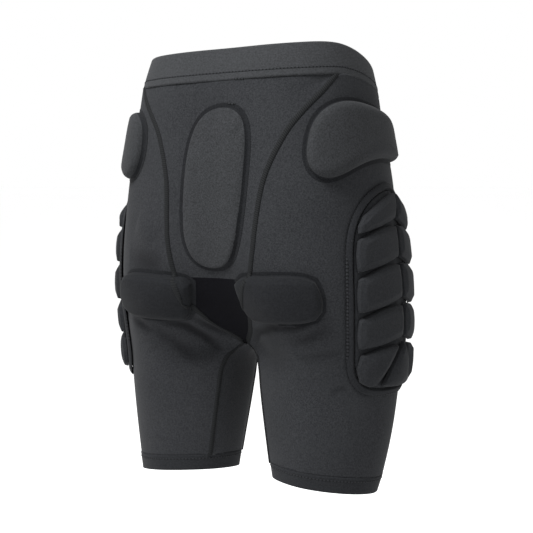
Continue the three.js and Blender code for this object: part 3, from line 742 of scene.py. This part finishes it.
def smooth_line(line, closed, spacing):
    """A smooth curve through the points, with evenly spaced points on it."""
    fine = []
    for i in range(len(line) - 1):
        before = line[i - 1] if i > 0 else (line[-2] if closed else line[0])
        after = line[i + 2] if i + 2 < len(line) else (line[1] if closed else line[-1])
        a, b = line[i], line[i + 1]
        # Handles a sixth of the way between a point's neighbours make the stretches join smoothly
        fine += interpolate_bezier(a, a + (b - before) / 6, b - (after - a) / 6, b,
                                   BEZIER_POINTS)[:-1]
    fine.append(line[-1])
    lengths = np.cumsum([0] + [(b - a).length for a, b in zip(fine, fine[1:])])
    wanted = np.linspace(0, lengths[-1], max(FEWEST_STEPS, round(lengths[-1] / spacing)) + 1)
    table = np.array([list(p) for p in fine])
    return [Vector([np.interp(w, lengths, table[:, k]) for k in range(3)]) for w in wanted]


print("round the waistband, mm:", round(max(length_of(c) for c, _ in chains("waistband")) / MM))

# %% [markdown]
# ## Strips of thread
#
# A seam or a line of stitches is a narrow strip that follows a chain. A curve object with a
# bevel would sink into the cloth wherever the cloth bends across it. So a row of points is
# extruded sideways, every point is laid on the cloth by itself, and the strip is extruded once
# more for its thickness. First come the rows, and where each point goes.

# %% Rows of a strip
NEIGHBOURS = range(-2, 3)
TURNED_AWAY = 0.5  # below this, the nearest cloth faces another way than the strip
LOOK_FROM, LOOK_FAR = 30 * MM, 32 * MM


def headings_along(line, closed, surface):
    """For each point its place on the cloth, a steady normal there and the way onwards."""
    count = len(line)
    found = [surface.find_nearest(point)[:2] for point in line]
    headings = []
    for i, (spot, _) in enumerate(found):
        around = [(i + k) % (count - 1) if closed else min(max(i + k, 0), count - 1)
                  for k in NEIGHBOURS]
        normal = sum((found[k][1] for k in around), Vector()).normalized()
        onwards = line[around[3]] - line[around[1]]
        headings.append((spot, normal, onwards.normalized()))
    return headings


def extruded_rows(bm, spots, closed, across):
    """A row of points through the spots, extruded so many times, as rows in the same order."""
    row = [bm.verts.new(spot) for spot in (spots[:-1] if closed else spots)]
    for a, b in zip(row, row[1:] + (row[:1] if closed else [])):
        bm.edges.new((a, b))
    edges = bm.edges[:]
    rows = [row]
    for _ in range(across):
        grown = bmesh.ops.extrude_edge_only(bm, edges=edges)["geom"]
        edges = [e for e in grown if isinstance(e, bmesh.types.BMEdge)]
        order = {}
        for vert in (v for v in grown if isinstance(v, bmesh.types.BMVert)):
            twin = min(range(len(row)), key=lambda k: (rows[-1][k].co - vert.co).length_squared)
            order[twin] = vert
        rows.append([order[k] for k in range(len(row))])
    return rows


def laid(at, normal, surface, over):
    """The place on the cloth nearest to a point, or on the pad that covers it there."""
    near, facing, _, _ = surface.find_nearest(at)
    if facing.dot(normal) < TURNED_AWAY:
        facing = normal
    if over:
        top, side, _, _ = over.ray_cast(near + facing * LOOK_FROM, -facing, LOOK_FAR)
        if top:
            return top, (side + facing).normalized()
    return near, facing


print("points averaged for each normal:", len(NEIGHBOURS))

# %% [markdown]
# The strip is proud of the cloth and arched, so its middle is lifted most. Its UV map holds the
# length sewn along it and the share across it, which the thread's pattern reads.

# %% Strips sewn on a surface
STRIP_EDGE = 0.35  # the share of the lift that the strip's edges have


def unrolled(bm, uv, rows, line):
    """Lays the strip out flat in the UV map: the length along it, and the share across."""
    lengths = np.cumsum([0] + [(b - a).length for a, b in zip(line, line[1:])])
    place = {v: (k, r) for r, verts in enumerate(rows) for k, v in enumerate(verts)}
    for face in bm.faces:
        columns = [place[loop.vert][0] for loop in face.loops]
        wraps = max(columns) - min(columns) > 1
        for loop in face.loops:
            k, r = place[loop.vert]
            u = lengths[k] + (lengths[-1] if wraps and k == 0 else 0)
            loop[uv].uv = (u, r / (len(rows) - 1))


def strip(name, line, closed, width, lift, material, surface, thick=0.8 * MM, aside=0.0,
          across=4, base=None, over=None):
    headings = headings_along(line, closed, base or surface)
    bm = bmesh.new()
    marks = bm.verts.layers.int.new("mark")
    uv = bm.loops.layers.uv.new("sewn")
    rows = extruded_rows(bm, [spot for spot, _, _ in headings], closed, across)
    facings = []
    for r, verts in enumerate(rows):
        share = r / across - 0.5
        arch = 1 - (2 * share) ** 2
        for (spot, normal, onwards), vert in zip(headings, verts):
            sideways = onwards.cross(normal).normalized()
            at = spot + sideways * (aside + share * width)
            near, facing = laid(at, normal, surface, over)
            vert.co = near + facing * lift * (STRIP_EDGE + (1 - STRIP_EDGE) * arch)
            vert[marks] = len(facings)
            facings.append(facing)
    unrolled(bm, uv, rows, line)
    under = bmesh.ops.extrude_face_region(bm, geom=bm.faces[:], use_keep_orig=True)["geom"]
    for vert in under:
        if isinstance(vert, bmesh.types.BMVert):
            vert.co -= facings[vert[marks]] * thick
    bmesh.ops.recalc_face_normals(bm, faces=bm.faces)
    piece = new_piece(name, bm, material)
    stand_for(piece, "knit")
    return piece


print("the edges of a strip have this share of its lift:", STRIP_EDGE)

# %% [markdown]
# ## Seams
#
# Four flatlock seams run from under the waistband down the torso, and on down the inside of a leg
# as the edge of its gusset. At the back each one crosses the inner end of a seat pad, which lies
# under the cloth, so the seam shows on the pad too. There the strip is laid over the pad, by
# looking back at the shorts from 30 mm outside them.

# %% Flatlock seams
SPACING = 4 * MM
TORSO_SHARP = 30  # degrees: the panels' top corners are blunter than their rims
TORSO_DROP, LEG_LENGTH = 200 * MM, 140 * MM
BEHIND = 20 * MM
SEAM_WIDTH, SEAM_LIFT = 6.0 * MM, 1.2 * MM


def seam_line(side, place):
    """The sewing line of a torso panel and the gusset's edge below it, in one."""
    sign = 1 if side == "left" else -1
    panel = "centre_back_panel" if place == "back" else "front_panel"
    torso = [c for c, _ in chains(panel, TORSO_SHARP)
             if drop_of(c) > TORSO_DROP and mean_of(c, 0) * sign > 0]
    leg = [c for c, _ in chains(f"inner_leg_panel_{side}")
           if length_of(c) > LEG_LENGTH and (mean_of(c, 1) > BEHIND) == (place == "back")]
    joined = downward(outer_of(*torso[:2])) + downward(outer_of(*leg[:2]))[1:]
    joined[0] = joined[0] + (joined[1] - joined[0]).normalized() * LAP
    return smooth_line(joined, False, SPACING)


over_seat_pads = surface_of(*cloth.values(), pads["sit_pad_left"], pads["sit_pad_right"])
for side in SIDES:
    for place, over in (("back", over_seat_pads), ("front", None)):
        seam = strip(f"flatlock_seam_{place}_{side}", seam_line(side, place), False,
                     SEAM_WIDTH, SEAM_LIFT, FLATLOCK, skin, over=over)
        print(seam.name, "quads:", len(seam.data.polygons))

# %% [markdown]
# ## Lines of stitches
#
# The waistband is stitched 7 mm above its lower edge, and each hem 2.5 mm below its upper edge.
# The binding round a thigh pad has two dotted lines, one along each side of its rib. All of them
# are closed rings at an even distance from an edge, so they are the same strip, only finer.

# %% Waistband, hem and binding stitches
STITCH_WIDTH, STITCH_LIFT, STITCH_THICK = 1.5 * MM, 0.5 * MM, 0.5 * MM
BAND_STITCH_UP, HEM_STITCH_DOWN = 7 * MM, 2.5 * MM
BINDING_INSETS = {"outer": 3.4 * MM, "inner": 7.4 * MM}


def rings(node_name):
    """The outer one of a band's two upper rings, and of its two lower ones."""
    closed = [c for c, ring in chains(node_name) if ring]
    middle = np.mean([p.z for c in closed for p in c])
    upper = [c for c in closed if mean_of(c, 2) > middle]
    lower = [c for c in closed if mean_of(c, 2) <= middle]
    return outer_of(*upper[:2]), outer_of(*lower[:2])


def stitch_line(name, ring, drop, surface, aside=0.0, base=None):
    line = [p - Vector((0, 0, drop)) for p in smooth_line(ring, True, SPACING)]
    return strip(name, line, True, STITCH_WIDTH, STITCH_LIFT, COVERSTITCH, surface,
                 thick=STITCH_THICK, aside=aside, across=2, base=base)


def inward_sign(ring):
    """Whether the left or the right of a closed line leads towards its middle."""
    middle = sum(ring, Vector()) / len(ring)
    total = 0.0
    for a, b in zip(ring, ring[1:]):
        total += (b - a).cross(skin.find_nearest(a)[1]).dot(middle - a)
    return 1 if total > 0 else -1


stitch_line("waistband_stitching", rings("waistband")[1], -BAND_STITCH_UP,
            surface_of(cloth["waistband"]))
for side in SIDES:
    stitch_line(f"hem_stitching_{side}", rings(f"leg_hem_{side}")[0], HEM_STITCH_DOWN,
                surface_of(cloth[f"leg_hem_{side}"]))
for side in SIDES:
    ring = max((c for c, closed in chains(f"thigh_pad_binding_{side}") if closed), key=length_of)
    for place, inset in BINDING_INSETS.items():
        stitch_line(f"binding_stitching_{place}_{side}", ring, 0, surface_of(bindings[side]),
                    aside=inset * inward_sign(ring), base=skin)
print("round the right thigh pad, mm:", round(length_of(ring) / MM))

# %% [markdown]
# Where a line of stitches starts and ends, a bar tack a few millimetres long holds the loose
# threads: a dense row of stitches across the line. One is on the waistband's lower edge and one
# above the tailbone pad. They are short strips too, laid on whatever lies there.

# %% Bar tacks
TACK_WIDTH, TACK_LIFT, TACK_SPACING = 2.2 * MM, 0.8 * MM, 1.5 * MM
TACKS = {
    "waistband_bar_tack": [(-24, 106, -36), (-30, 106, -36), (-36, 106, -36)],
    "tailbone_bar_tack": [(-17, 110, -63), (-22, 110, -64), (-27, 110, -64)],
}
over_tailbone_pad = surface_of(*cloth.values(), pads["tailbone_pad"])
for name, points in TACKS.items():
    line = smooth_line([Vector(point) * MM for point in points], False, TACK_SPACING)
    strip(name, line, False, TACK_WIDTH, TACK_LIFT, COVERSTITCH, over_seat_pads, across=2,
          over=over_tailbone_pad)
    print(name, "mm long:", round(length_of(line) / MM, 1))

# %% [markdown]
# ## Floor
#
# The shorts stand clear above a wide floor of matt white paper, as in a catalogue. It is a disc
# and not a plane, so no corner shows, and it lies 300 mm below the hems, so no shadow darkens it.

# %% Studio floor
FLOOR_DROP = 300 * MM
FLOOR_RADIUS = 30

bm = bmesh.new()
bmesh.ops.create_circle(bm, cap_ends=True, segments=96, radius=FLOOR_RADIUS)
bmesh.ops.translate(bm, verts=bm.verts, vec=(0, 0, cad_box[0][2] - FLOOR_DROP))
PAPER, tree = new_material("pale_studio_paper")
paper = add_node(tree, "ShaderNodeBsdfPrincipled",
                 {"Base Color": linear("#ffffff"), "Roughness": 0.9})
add_node(tree, "ShaderNodeOutputMaterial", {}, {"Surface": paper.outputs["BSDF"]})
floor = new_piece("studio_floor", bm, PAPER)
floor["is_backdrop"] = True
print("floor at mm:", round((cad_box[0][2] - FLOOR_DROP) / MM))

# %% [markdown]
# ## Light
#
# The light is soft and white and comes from all round, so the world itself shines evenly. One
# large lamp, high behind the shorts and a little to their left, gives the cloth its shading: the
# folds and the bevels of the pads catch it from above. More lamps would flatten them.

# %% World and lamp
AIM = Vector((0, 0, -259 * MM))
WORLD_STRENGTH = 1.0


def direction(azimuth, elevation):
    """The way from the shorts to a lamp or camera: azimuth 0 is in front, 90 on the left."""
    azimuth, elevation = math.radians(azimuth), math.radians(elevation)
    return Vector((math.sin(azimuth) * math.cos(elevation),
                   -math.cos(azimuth) * math.cos(elevation), math.sin(elevation)))


def aimed(name, data, azimuth, elevation, distance):
    """An object with this data, at a distance from the aim and looking at it."""
    thing = bpy.data.objects.new(name, data)
    bpy.context.scene.collection.objects.link(thing)
    facing = direction(azimuth, elevation)
    thing.location = AIM + facing * distance
    thing.rotation_euler = facing.to_track_quat("Z", "Y").to_euler()
    return thing


world = bpy.data.worlds.new("soft_studio")
world.use_nodes = True
sky = world.node_tree.nodes["Background"]
sky.inputs["Color"].default_value = (1, 1, 1, 1)
sky.inputs["Strength"].default_value = WORLD_STRENGTH
bpy.context.scene.world = world

lamp = bpy.data.lights.new("key_lamp", "AREA")
lamp.size, lamp.energy = 0.8, 105
aimed("key_lamp", lamp, azimuth=166, elevation=52, distance=2.2)
print("lamp, watts:", lamp.energy)

# %% [markdown]
# ## Camera
#
# The view is from behind and to the right, a little above the seat and 1.73 m away. The lens is
# worked out from a focal length in pixels, and the shift moves the shorts by a few pixels to
# where they are in the frame. Depth of field stays off.

# %% Camera
DISTANCE = 1730 * MM
FOCAL_PIXELS, FRAME_PIXELS, SENSOR = 1419, 533, 36
SHIFT_PIXELS = (3.5, 1.5)
CLIP_END = 100

data = bpy.data.cameras.new("photo_camera")
data.sensor_width = SENSOR
data.lens = FOCAL_PIXELS / FRAME_PIXELS * SENSOR
data.shift_x, data.shift_y = (pixels / FRAME_PIXELS for pixels in SHIFT_PIXELS)
data.clip_end = CLIP_END
camera = aimed("photo_camera", data, azimuth=210, elevation=4.5, distance=DISTANCE)
bpy.context.scene.camera = camera
bpy.context.scene.view_settings.view_transform = "Standard"
print("lens, mm:", round(data.lens, 1))

# %% [markdown]
# ## Sizes
#
# The dressed model should stay as big as the imported one. Both boxes are kept, and how far
# each of their sides lies apart is printed.

# %% Sizes and the end
size = {"cad": [list(c) for c in cad_box], "visual": [list(c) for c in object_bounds()]}
print("grown by mm:", [round(abs(b - a) / MM, 1) for p, q in zip(size["cad"], size["visual"])
                       for a, b in zip(p, q)])
